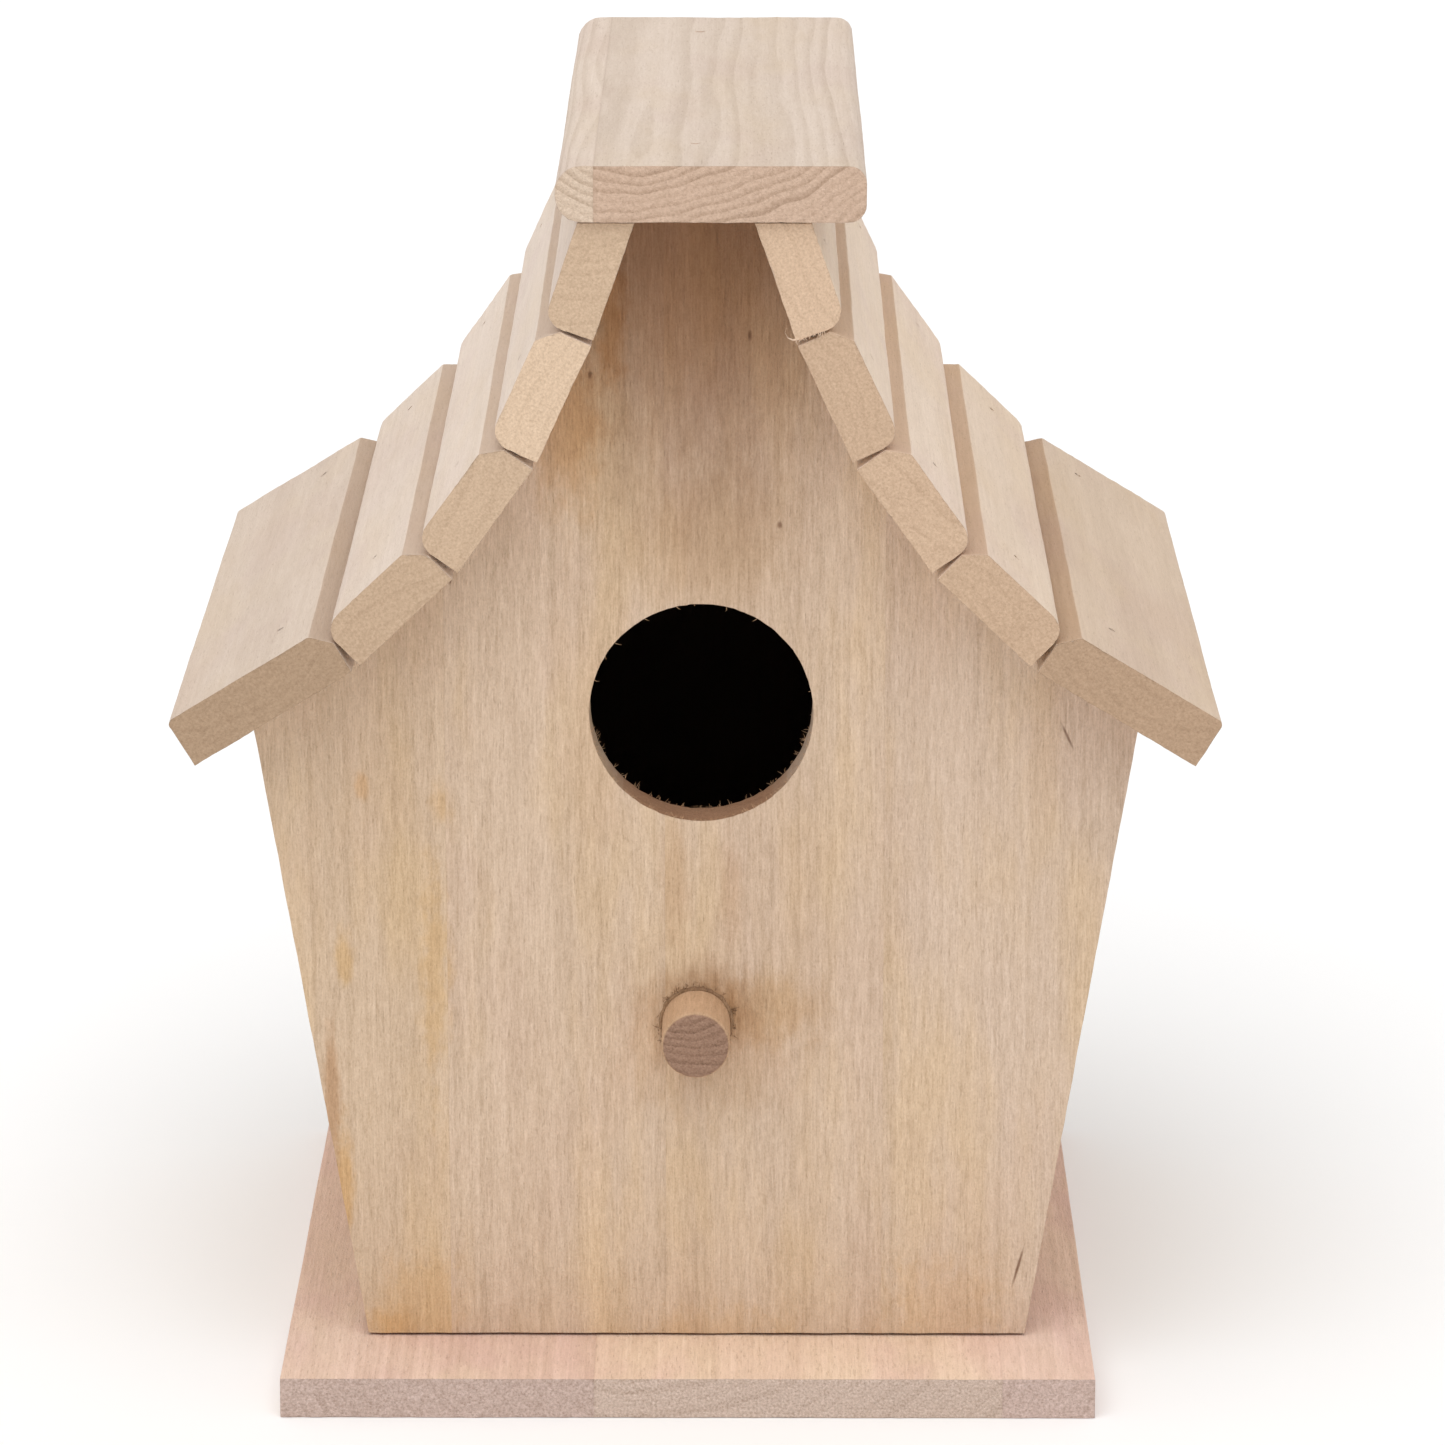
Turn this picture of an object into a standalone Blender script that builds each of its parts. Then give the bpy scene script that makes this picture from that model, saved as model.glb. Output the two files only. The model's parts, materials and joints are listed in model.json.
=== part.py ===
"""Wooden birdhouse with a slatted, inward-curving roof, as one named object per piece.

Units are metres, +Z is up and -Y is the front with the entrance hole. The origin is at the
middle of the underside of the whole object.
"""

import math

import bmesh
import bpy
from mathutils import Euler, Matrix, Vector

# Fits
GAP = 0.0003              # between two boards that touch
NAIL_GAP = 0.0001         # around a nail in its hole
DOWEL_GAP = 0.0003        # around the perch in its hole
PIVOT_GAP = 0.0001        # around the pivot screw in the hatch

# Base board
BASE_WIDTH = 0.1402
BASE_THICKNESS = 0.0072
BASE_SHIFT = -0.0014      # the base sits a little to the left
BASE_FRONT_LIP = 0.021    # ahead of the front panel
BASE_BACK_LIP = 0.0066    # behind the back panel

# Body: two panels with a leaning wall between them on each side
BODY_DEPTH = 0.1244       # front face of the front panel to back face of the back panel
FOOT_HALF_WIDTH = 0.0574  # half the body's width where it stands on the base
FLARE = math.radians(9.3)  # how far each side leans outwards
PANEL_THICKNESS = 0.008
WALL_THICKNESS = 0.008

# Roof: boards laid side by side down a hollow curve
CAP_UNDERSIDE = 0.208     # height of the ridge cap's underside
RIDGE_HALF_WIDTH = 0.0098  # half the width of the body's flat top
SLAT_THICKNESS = 0.0090
SLAT_SLOPES = [math.radians(a) for a in (70.9, 65.1, 54.5, 43.7, 31.5)]
TOP_SLAT_WIDTH = 0.0210
SLAT_WIDTH = 0.0218
EAVE_SLAT_WIDTH = 0.0314
SLAT_ROUND = 0.0034       # radius of the slats' lower outer edges
SLAT_CHAMFER = 0.0031     # leg of the chamfer on the slats' upper outer edges
CHAMFER_EASE = 0.0008     # radius of the chamfer's own two edges
EAVE_ROUND = 0.0011       # radius of the eave's outer edge
ROOF_FRONT_OVERHANG = 0.016
ROOF_BACK_OVERHANG = 0.0108

# Ridge cap
CAP_WIDTH = 0.0513
CAP_THICKNESS = 0.0095
CAP_SHIFT = 0.0027        # the cap sits a little to the right of the ridge
CAP_OVERHANG = 0.0015     # past the slats at each end
CAP_LEFT_ROUND = 0.0044
CAP_RIGHT_ROUND = 0.0030

# Entrance and perch
ENTRANCE_DIAMETER = 0.038
ENTRANCE_HEIGHT = 0.120
ENTRANCE_SHIFT = 0.0009   # the entrance is drilled a little to the right
PERCH_DIAMETER = 0.0117
PERCH_HEIGHT = 0.0647
PERCH_REACH = 0.0134      # ahead of the front panel
PERCH_ROUND = 0.0009

# Back: a cleaning hole under a hatch that turns on one screw, and a hanging keyhole
CLEANING_DIAMETER = 0.040
CLEANING_HEIGHT = 0.050
HATCH_WIDTH = 0.054
HATCH_THICKNESS = 0.005
HATCH_LAP = 0.006         # past the cleaning hole at the bottom
HATCH_CORNER = 0.010
PIVOT_ABOVE_HOLE = 0.008  # from the cleaning hole's top edge to the screw
HATCH_TOP_MARGIN = 0.010  # from the screw to the hatch's top edge
KEYHOLE_HEIGHT = 0.168
KEYHOLE_DIAMETER = 0.009
KEYHOLE_SLOT_WIDTH = 0.0044
KEYHOLE_SLOT_LENGTH = 0.010

# Fasteners
NAIL_DIAMETER = 0.0010
NAIL_LENGTH = 0.018
NAIL_SET = 0.0003         # heads lie this far below the wood
NAIL_POINT = 0.0012
EAVE_NAIL_PLACE = 0.33    # share of the eave board's width, from its upper edge
WALL_NAIL_LOW = 0.013     # above the base
WALL_NAIL_HIGH = 0.090
BASE_NAIL_HALF_SPACING = 0.035
SCREW_DIAMETER = 0.0035
SCREW_HEAD_DIAMETER = 0.008
SCREW_HEAD_HEIGHT = 0.0022
SCREW_BITE = 0.0068       # depth of thread in the back panel
SCREW_SLOT_WIDTH = 0.0011
SCREW_SLOT_DEPTH = 0.0009

# Roundness of the faceted curves
CORNER_STEPS = 6
HOLE_SIDES = 64
DOWEL_SIDES = 40
NAIL_SIDES = 10

# Depths, measured back from the middle of the whole object
FRONT_OF_PANEL = 0.5 * (BASE_FRONT_LIP - BODY_DEPTH - ROOF_BACK_OVERHANG - CAP_OVERHANG)
BACK_OF_PANEL = FRONT_OF_PANEL + BODY_DEPTH
ROOF_FRONT = FRONT_OF_PANEL - ROOF_FRONT_OVERHANG
ROOF_BACK = BACK_OF_PANEL + ROOF_BACK_OVERHANG
FRONT_PANEL_MIDDLE = FRONT_OF_PANEL + 0.5 * PANEL_THICKNESS
BACK_PANEL_MIDDLE = BACK_OF_PANEL - 0.5 * PANEL_THICKNESS
BODY_FOOT = BASE_THICKNESS + GAP
BODY_TOP = CAP_UNDERSIDE - GAP
PIVOT_HEIGHT = CLEANING_HEIGHT + 0.5 * CLEANING_DIAMETER + PIVOT_ABOVE_HOLE

cuts = {}                 # board name: the solids that are cut out of it


def clear_scene():
    for thing in list(bpy.data.objects):
        bpy.data.objects.remove(thing, do_unlink=True)


def finish_material(name, colour, roughness, metallic=0.0):
    made = bpy.data.materials.new(name)
    made.use_nodes = True
    shader = made.node_tree.nodes["Principled BSDF"]
    shader.inputs["Base Color"].default_value = (*colour, 1.0)
    shader.inputs["Roughness"].default_value = roughness
    shader.inputs["Metallic"].default_value = metallic
    return made


# --- outlines and solids ---------------------------------------------------------------------


def arc(centre_x, centre_z, radius, start, end, steps=CORNER_STEPS):
    """Points along an arc; the angles are in degrees, counter-clockwise from +X."""
    points = []
    for step in range(steps + 1):
        angle = math.radians(start + (end - start) * step / steps)
        points.append((centre_x + radius * math.cos(angle), centre_z + radius * math.sin(angle)))
    return points


def meet(point, direction, other_point, other_direction):
    """Where two lines of the XZ plane cross."""
    across = direction.x * other_direction.y - direction.y * other_direction.x
    apart = other_point - point
    along = (apart.x * other_direction.y - apart.y * other_direction.x) / across
    return point + along * direction


def extrude_outline(outline, near, far):
    """A closed prism from an XZ outline, between two depths."""
    mesh = bmesh.new()
    corners = [mesh.verts.new((x, near, z)) for x, z in outline]
    face = mesh.faces.new(corners)
    grown = bmesh.ops.extrude_face_region(mesh, geom=[face])
    moved = [item for item in grown["geom"] if isinstance(item, bmesh.types.BMVert)]
    bmesh.ops.translate(mesh, verts=moved, vec=(0.0, far - near, 0.0))
    bmesh.ops.recalc_face_normals(mesh, faces=mesh.faces)
    return mesh


def aim(direction):
    """The turn that takes local -Z to a direction."""
    return (-Vector(direction)).to_track_quat("Z", "Y").to_euler()


def rod(radius, length, sides, place=(0.0, 0.0, 0.0), turn=None):
    """A cylinder that runs from a place along local -Z."""
    mesh = bmesh.new()
    matrix = Matrix.Translation(place) @ (turn or Euler()).to_matrix().to_4x4()
    matrix = matrix @ Matrix.Translation((0.0, 0.0, -0.5 * length))
    bmesh.ops.create_cone(mesh, cap_ends=True, segments=sides, radius1=radius, radius2=radius,
                          depth=length, matrix=matrix)
    return mesh


def place_object(name, mesh, finish, place=(0.0, 0.0, 0.0), turn=(0.0, 0.0, 0.0), smooth=False):
    data = bpy.data.meshes.new(name)
    mesh.to_mesh(data)
    mesh.free()
    if smooth:
        data.shade_smooth()
        data.set_sharp_from_angle(angle=math.radians(35.0))
    data.materials.append(finish)
    made = bpy.data.objects.new(name, data)
    made.location = place
    made.rotation_euler = turn
    bpy.context.collection.objects.link(made)
    return made


def add_cut(board, mesh):
    cuts.setdefault(board, []).append(mesh)


def cut_boards():
    """Gives each board one Boolean, with all of its holes in one cutter."""
    for board, pieces in cuts.items():
        data = bpy.data.meshes.new("cutter_" + board)
        whole = bmesh.new()
        for piece in pieces:
            part = bpy.data.meshes.new("hole")
            piece.to_mesh(part)
            piece.free()
            whole.from_mesh(part)
            bpy.data.meshes.remove(part)
        whole.to_mesh(data)
        whole.free()
        cutter = bpy.data.objects.new("cutter_" + board, data)
        cutter.display_type = "WIRE"
        cutter.hide_render = True
        bpy.context.collection.objects.link(cutter)
        modifier = bpy.data.objects[board].modifiers.new("holes", "BOOLEAN")
        modifier.operation = "DIFFERENCE"
        modifier.solver = "EXACT"
        modifier.object = cutter


# --- the roof's curve --------------------------------------------------------------------------


def slat_widths():
    return [TOP_SLAT_WIDTH, SLAT_WIDTH, SLAT_WIDTH, SLAT_WIDTH, EAVE_SLAT_WIDTH]


def joint_trim(index):
    """How far each of two neighbouring slats stops short of the bend between them.

    Their ends touch, but for the gap, where the shaping of the outer edges begins.
    """
    bend = SLAT_SLOPES[index] - SLAT_SLOPES[index + 1]
    flat = SLAT_THICKNESS - max(SLAT_ROUND, SLAT_CHAMFER)
    return flat * math.tan(0.5 * bend) + 0.5 * GAP


def slat_starts():
    """For each right-hand slat, the underside point at its upper end, and the bends between."""
    starts = []
    bends = [Vector((RIDGE_HALF_WIDTH, BODY_TOP))]
    for index, (slope, width) in enumerate(zip(SLAT_SLOPES, slat_widths())):
        along = Vector((math.cos(slope), -math.sin(slope)))
        above = joint_trim(index - 1) if index else 0.0
        below = joint_trim(index) if index < len(SLAT_SLOPES) - 1 else 0.0
        starts.append(bends[-1] + above * along)
        bends.append(bends[-1] + (above + width + below) * along)
    return starts, bends


def roof_seat():
    """The line that the body is cut to under the slats: its bends, and each run's direction."""
    _, bends = slat_starts()
    seats = []
    runs = []
    for slope, bend in zip(SLAT_SLOPES, bends):
        seats.append(bend - GAP * Vector((math.sin(slope), math.cos(slope))))
        runs.append(Vector((math.cos(slope), -math.sin(slope))))
    return seats, runs


# --- pieces ----------------------------------------------------------------------------------------


def make_base(finish):
    near = FRONT_OF_PANEL - BASE_FRONT_LIP
    far = BACK_OF_PANEL + BASE_BACK_LIP
    half = 0.5 * BASE_WIDTH
    outline = [(-half, 0.0), (half, 0.0), (half, BASE_THICKNESS), (-half, BASE_THICKNESS)]
    place_object("base_board", extrude_outline(outline, near, far), finish, (BASE_SHIFT, 0.0, 0.0))


def side_line(inset=0.0):
    """A leaning side of the body: a point at its foot, and its direction up."""
    up = Vector((math.sin(FLARE), math.cos(FLARE)))
    foot = Vector((FOOT_HALF_WIDTH - inset / math.cos(FLARE), BODY_FOOT))
    return foot, up


def panel_outline():
    seats, runs = roof_seat()
    foot, up = side_line()
    level = Vector((1.0, 0.0))
    right = [foot, meet(foot, up, seats[-1], runs[-1])]
    for index in range(len(seats) - 1, 0, -1):
        right.append(meet(seats[index - 1], runs[index - 1], seats[index], runs[index]))
    right.append(meet(seats[0], runs[0], Vector((0.0, BODY_TOP)), level))
    left = [Vector((-point.x, point.y)) for point in reversed(right)]
    return [tuple(point) for point in right + left]


def make_panels(front_finish, back_finish):
    outline = panel_outline()
    front = extrude_outline(outline, FRONT_OF_PANEL, FRONT_OF_PANEL + PANEL_THICKNESS)
    place_object("front_panel", front, front_finish)
    back = extrude_outline(outline, BACK_OF_PANEL - PANEL_THICKNESS, BACK_OF_PANEL)
    place_object("back_panel", back, back_finish)


def make_side_walls(finish):
    seats, runs = roof_seat()
    foot, up = side_line()
    inner_foot, _ = side_line(WALL_THICKNESS)
    corners = [foot, meet(foot, up, seats[-1], runs[-1]),
               meet(inner_foot, up, seats[-1], runs[-1]), inner_foot]
    near = FRONT_OF_PANEL + PANEL_THICKNESS + GAP
    far = BACK_OF_PANEL - PANEL_THICKNESS - GAP
    for side, name in ((1, "side_wall_right"), (-1, "side_wall_left")):
        outline = [(side * point.x, point.y) for point in corners]
        place_object(name, extrude_outline(outline, near, far), finish)


def slat_outline(index):
    """A slat's section: u runs down the slope from its upper end, w out from its underside."""
    width = slat_widths()[index]
    thick = SLAT_THICKNESS
    if index == 0:
        upper = [(thick / math.tan(SLAT_SLOPES[0]), thick)]
    else:
        tangent = CHAMFER_EASE * math.tan(math.radians(22.5))
        low = thick - SLAT_CHAMFER - tangent
        upper = arc(CHAMFER_EASE, low, CHAMFER_EASE, 180.0, 135.0, 2)
        upper += arc(SLAT_CHAMFER + tangent, thick - CHAMFER_EASE, CHAMFER_EASE, 135.0, 90.0, 2)
    lower_round = EAVE_ROUND if index == len(SLAT_SLOPES) - 1 else SLAT_ROUND
    lower = arc(width - lower_round, thick - lower_round, lower_round, 90.0, 0.0)
    return [(0.0, 0.0)] + upper + lower + [(width, 0.0)]


def slat_point(index, side, u, w, y):
    """A point of a slat's section, in the world."""
    start = slat_starts()[0][index]
    slope = SLAT_SLOPES[index]
    x = start.x + u * math.cos(slope) + w * math.sin(slope)
    z = start.y - u * math.sin(slope) + w * math.cos(slope)
    return Vector((side * x, y, z))


def make_slats(finishes):
    half = 0.5 * (ROOF_BACK - ROOF_FRONT)
    middle = 0.5 * (ROOF_BACK + ROOF_FRONT)
    for index, slope in enumerate(SLAT_SLOPES):
        for side, word in ((-1, "left"), (1, "right")):
            name = "roof_slat_%s_%d" % (word, index + 1)
            mesh = extrude_outline(slat_outline(index), -half, half)
            turn = (0.0, slope, 0.0 if side > 0 else math.pi)
            place_object(name, mesh, finishes[side], slat_point(index, side, 0.0, 0.0, middle),
                         turn, smooth=True)


def make_cap(finish):
    half = 0.5 * CAP_WIDTH
    high = CAP_THICKNESS
    left, right = CAP_LEFT_ROUND, CAP_RIGHT_ROUND
    outline = arc(-half + left, left, left, 270.0, 180.0)
    outline += arc(-half + left, high - left, left, 180.0, 90.0)
    outline += arc(half - right, high - right, right, 90.0, 0.0)
    outline += arc(half - right, right, right, 0.0, -90.0)
    mesh = extrude_outline(outline, ROOF_FRONT - CAP_OVERHANG, ROOF_BACK + CAP_OVERHANG)
    place_object("ridge_cap", mesh, finish, (CAP_SHIFT, 0.0, CAP_UNDERSIDE), smooth=True)


def make_perch(finish):
    """A short dowel through the front panel, flush inside, with its outer end eased."""
    radius = 0.5 * PERCH_DIAMETER
    length = PERCH_REACH + PANEL_THICKNESS
    mesh = rod(radius, length, DOWEL_SIDES)
    outer = [edge for edge in mesh.edges if all(abs(v.co.z) < 1e-6 for v in edge.verts)]
    bmesh.ops.bevel(mesh, geom=outer, offset=PERCH_ROUND, offset_type="OFFSET", segments=3,
                    profile=0.5, affect="EDGES", material=-1)
    place = Vector((0.0, FRONT_OF_PANEL - PERCH_REACH, PERCH_HEIGHT))
    turn = aim((0.0, 1.0, 0.0))
    place_object("perch_dowel", mesh, finish, place, turn, smooth=True)
    hole = rod(radius + DOWEL_GAP, 3.0 * PANEL_THICKNESS, DOWEL_SIDES,
               (0.0, FRONT_OF_PANEL - PANEL_THICKNESS, PERCH_HEIGHT), turn)
    add_cut("front_panel", hole)


def cut_entrance():
    hole = rod(0.5 * ENTRANCE_DIAMETER, 3.0 * PANEL_THICKNESS, HOLE_SIDES,
               (ENTRANCE_SHIFT, FRONT_OF_PANEL - PANEL_THICKNESS, ENTRANCE_HEIGHT),
               aim((0.0, 1.0, 0.0)))
    add_cut("front_panel", hole)


def keyhole_outline():
    """A round hole for a screw's head, with a round-ended slot above it."""
    radius = 0.5 * KEYHOLE_DIAMETER
    narrow = 0.5 * KEYHOLE_SLOT_WIDTH
    shoulder = math.degrees(math.acos(narrow / radius))
    top = KEYHOLE_HEIGHT + KEYHOLE_SLOT_LENGTH
    outline = arc(0.0, KEYHOLE_HEIGHT, radius, 180.0 - shoulder, 360.0 + shoulder, 20)
    return outline + arc(0.0, top, narrow, 0.0, 180.0)


def make_back_openings():
    near = BACK_OF_PANEL - 2.0 * PANEL_THICKNESS
    far = BACK_OF_PANEL + PANEL_THICKNESS
    add_cut("back_panel", extrude_outline(keyhole_outline(), near, far))
    hole = rod(0.5 * CLEANING_DIAMETER, far - near, HOLE_SIDES, (0.0, near, CLEANING_HEIGHT),
               aim((0.0, 1.0, 0.0)))
    add_cut("back_panel", hole)


def make_hatch(finish):
    """The hatch's origin is on the pivot screw's axis, in the middle of its thickness."""
    half = 0.5 * HATCH_WIDTH
    top = HATCH_TOP_MARGIN
    bottom = CLEANING_HEIGHT - 0.5 * CLEANING_DIAMETER - HATCH_LAP - PIVOT_HEIGHT
    corner = HATCH_CORNER
    top_corner = min(corner, 0.9 * top)
    outline = arc(half - top_corner, top - top_corner, top_corner, 0.0, 90.0)
    outline += arc(-half + top_corner, top - top_corner, top_corner, 90.0, 180.0)
    outline += arc(-half + corner, bottom + corner, corner, 180.0, 270.0)
    outline += arc(half - corner, bottom + corner, corner, 270.0, 360.0)
    mesh = extrude_outline(outline, -0.5 * HATCH_THICKNESS, 0.5 * HATCH_THICKNESS)
    middle = BACK_OF_PANEL + GAP + 0.5 * HATCH_THICKNESS
    place_object("clean_out_hatch", mesh, finish, (0.0, middle, PIVOT_HEIGHT), smooth=True)
    hole = rod(0.5 * SCREW_DIAMETER + PIVOT_GAP, 3.0 * HATCH_THICKNESS, DOWEL_SIDES // 2,
               (0.0, middle - 1.5 * HATCH_THICKNESS, PIVOT_HEIGHT), aim((0.0, 1.0, 0.0)))
    add_cut("clean_out_hatch", hole)


def make_pivot_screw(finish):
    """A dome-headed slotted screw: its head bears on the hatch and its tip is in the panel."""
    seat = GAP + HATCH_THICKNESS + GAP
    shank = 0.5 * SCREW_DIAMETER
    head = 0.5 * SCREW_HEAD_DIAMETER
    profile = [(0.0, -(seat + SCREW_BITE)), (0.3 * shank, -(seat + SCREW_BITE)),
               (shank, -(seat + SCREW_BITE) + shank), (shank, 0.0), (head, 0.0),
               (head, 0.3 * SCREW_HEAD_HEIGHT), (0.8 * head, 0.75 * SCREW_HEAD_HEIGHT),
               (0.45 * head, 0.97 * SCREW_HEAD_HEIGHT), (0.0, SCREW_HEAD_HEIGHT)]
    mesh = bmesh.new()
    line = [mesh.verts.new((x, 0.0, z)) for x, z in profile]
    edges = [mesh.edges.new(pair) for pair in zip(line, line[1:])]
    bmesh.ops.spin(mesh, geom=line + edges, cent=(0.0, 0.0, 0.0), axis=(0.0, 0.0, 1.0),
                   angle=2.0 * math.pi, steps=24, use_merge=True)
    bmesh.ops.remove_doubles(mesh, verts=mesh.verts, dist=1e-6)
    bmesh.ops.recalc_face_normals(mesh, faces=mesh.faces)
    place = Vector((0.0, BACK_OF_PANEL + seat, PIVOT_HEIGHT))
    turn = aim((0.0, -1.0, 0.0))
    place_object("hatch_pivot_screw", mesh, finish, place, turn, smooth=True)
    top = BACK_OF_PANEL + seat + SCREW_HEAD_HEIGHT
    half = 0.5 * SCREW_SLOT_WIDTH
    outline = [(-head, PIVOT_HEIGHT - half), (head, PIVOT_HEIGHT - half),
               (head, PIVOT_HEIGHT + half), (-head, PIVOT_HEIGHT + half)]
    add_cut("hatch_pivot_screw", extrude_outline(outline, top - SCREW_SLOT_DEPTH, top + head))
    add_cut("back_panel", rod(shank + NAIL_GAP, SCREW_BITE + GAP + shank, DOWEL_SIDES // 2,
                              (0.0, BACK_OF_PANEL + shank, PIVOT_HEIGHT), turn))


# --- nails ----------------------------------------------------------------------------------------


def drive_nail(name, finish, surface, direction, boards):
    """A headless nail driven from a surface point, and its hole in each of the boards."""
    way = Vector(direction).normalized()
    radius = 0.5 * NAIL_DIAMETER
    mesh = rod(radius, NAIL_LENGTH - NAIL_POINT, NAIL_SIDES)
    mesh.faces.ensure_lookup_table()
    tip = min(mesh.faces, key=lambda face: face.calc_center_median().z)
    grown = bmesh.ops.extrude_discrete_faces(mesh, faces=[tip])["faces"][0]
    bmesh.ops.translate(mesh, verts=grown.verts, vec=(0.0, 0.0, -NAIL_POINT))
    bmesh.ops.scale(mesh, verts=grown.verts, vec=(0.25, 0.25, 1.0))
    bmesh.ops.remove_doubles(mesh, verts=mesh.verts, dist=1e-7)
    place = Vector(surface) + NAIL_SET * way
    turn = aim(way)
    place_object(name, mesh, finish, place, turn, smooth=True)
    start = Vector(surface) - 2.0 * NAIL_DIAMETER * way
    length = 2.0 * NAIL_DIAMETER + NAIL_SET + NAIL_LENGTH + NAIL_GAP
    for board in boards:
        add_cut(board, rod(radius + NAIL_GAP, length, NAIL_SIDES, start, turn))


def nail_roof(finish):
    """One nail through each slat into each panel, square to the slat."""
    for index, slope in enumerate(SLAT_SLOPES):
        share = EAVE_NAIL_PLACE if index == len(SLAT_SLOPES) - 1 else 0.5
        along = share * slat_widths()[index]
        for side, word in ((-1, "left"), (1, "right")):
            inwards = (-side * math.sin(slope), 0.0, -math.cos(slope))
            for depth, panel in ((FRONT_PANEL_MIDDLE, "front"), (BACK_PANEL_MIDDLE, "back")):
                head = slat_point(index, side, along, SLAT_THICKNESS, depth)
                drive_nail("slat_nail_%s_%s_%d" % (panel, word, index + 1), finish, head,
                           inwards, ["roof_slat_%s_%d" % (word, index + 1), panel + "_panel"])


def nail_cap(finish):
    for depth, panel in ((FRONT_PANEL_MIDDLE, "front"), (BACK_PANEL_MIDDLE, "back")):
        drive_nail("cap_nail_" + panel, finish, (0.0, depth, CAP_UNDERSIDE + CAP_THICKNESS),
                   (0.0, 0.0, -1.0), ["ridge_cap", panel + "_panel"])


def nail_walls(finish):
    """Nails through each panel into the ends of the walls, in the middle of the wall."""
    foot, up = side_line(0.5 * WALL_THICKNESS)
    for level, height in (("low", WALL_NAIL_LOW), ("high", WALL_NAIL_HIGH)):
        x = foot.x + height * up.x / up.y
        z = foot.y + height
        for side, word in ((-1, "left"), (1, "right")):
            wall = "side_wall_" + word
            drive_nail("wall_nail_front_%s_%s" % (word, level), finish,
                       (side * x, FRONT_OF_PANEL, z), (0.0, 1.0, 0.0), ["front_panel", wall])
            drive_nail("wall_nail_back_%s_%s" % (word, level), finish,
                       (side * x, BACK_OF_PANEL, z), (0.0, -1.0, 0.0), ["back_panel", wall])


def nail_base(finish):
    for side, word in ((-1, "left"), (1, "right")):
        for depth, panel in ((FRONT_PANEL_MIDDLE, "front"), (BACK_PANEL_MIDDLE, "back")):
            drive_nail("base_nail_%s_%s" % (panel, word), finish,
                       (side * BASE_NAIL_HALF_SPACING, depth, 0.0), (0.0, 0.0, 1.0),
                       ["base_board", panel + "_panel"])


def main():
    clear_scene()
    panel_wood = finish_material("panel_wood", (0.64, 0.45, 0.29), 0.75)
    wall_wood = finish_material("wall_wood", (0.62, 0.46, 0.31), 0.75)
    base_wood = finish_material("base_wood", (0.69, 0.51, 0.40), 0.75)
    left_wood = finish_material("left_slat_wood", (0.71, 0.61, 0.51), 0.75)
    right_wood = finish_material("right_slat_wood", (0.69, 0.55, 0.41), 0.75)
    cap_wood = finish_material("cap_wood", (0.68, 0.56, 0.46), 0.75)
    dowel_wood = finish_material("dowel_wood", (0.55, 0.38, 0.24), 0.7)
    steel = finish_material("nail_steel", (0.35, 0.34, 0.33), 0.45, 1.0)
    make_base(base_wood)
    make_panels(panel_wood, wall_wood)
    make_side_walls(wall_wood)
    make_slats({-1: left_wood, 1: right_wood})
    make_cap(cap_wood)
    cut_entrance()
    make_perch(dowel_wood)
    make_back_openings()
    make_hatch(wall_wood)
    make_pivot_screw(steel)
    nail_roof(steel)
    nail_cap(steel)
    nail_walls(steel)
    nail_base(steel)
    cut_boards()


main()
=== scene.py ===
import json
import math
import random

import bmesh
import bpy
from mathutils import Euler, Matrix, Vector, noise


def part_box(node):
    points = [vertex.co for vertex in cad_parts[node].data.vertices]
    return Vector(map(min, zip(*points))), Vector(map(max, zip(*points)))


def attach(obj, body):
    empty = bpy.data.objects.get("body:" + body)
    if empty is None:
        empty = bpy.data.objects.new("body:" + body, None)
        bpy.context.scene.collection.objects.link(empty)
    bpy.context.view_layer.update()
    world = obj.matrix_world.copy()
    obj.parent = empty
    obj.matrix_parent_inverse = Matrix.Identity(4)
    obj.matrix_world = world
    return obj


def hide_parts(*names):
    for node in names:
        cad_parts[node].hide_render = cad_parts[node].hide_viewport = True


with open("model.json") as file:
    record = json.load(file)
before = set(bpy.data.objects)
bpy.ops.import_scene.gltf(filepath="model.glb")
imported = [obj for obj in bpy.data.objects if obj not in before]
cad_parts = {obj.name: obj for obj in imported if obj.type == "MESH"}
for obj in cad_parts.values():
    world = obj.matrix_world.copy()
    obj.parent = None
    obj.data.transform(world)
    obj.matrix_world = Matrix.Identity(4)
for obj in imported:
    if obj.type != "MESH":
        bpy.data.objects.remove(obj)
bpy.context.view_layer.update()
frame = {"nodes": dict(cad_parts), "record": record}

mm = 0.001
print("frame loaded:", len(frame["nodes"]), "pieces")

scene = bpy.context.scene
nodeBody = {}
for bodyName, members in frame["record"]["behaviour"]["bodies"].items():
    for member in members:
        nodeBody[member] = bodyName

panelLow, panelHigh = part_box("front_panel")
frontFace = panelLow.y

studio = {
    "cameraPlace": (0.0082, frontFace - 1.0512, 0.4065),
    "cameraDown": 15.33,        # degrees below level
    "cameraYaw": -0.20,
    "lens": 159.5,
    "skyTone": (1.0, 1.0, 1.0),
    "skyStrength": 0.70,
    "keyFrom": (-0.10, -0.50, 1.0),
    "keySpread": 65.0,          # degrees across, for soft shadows
    "keyStrength": 1.5,
    "floorHalf": 4.0,
    "floorTone": (0.95, 0.95, 0.95),
}


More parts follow.
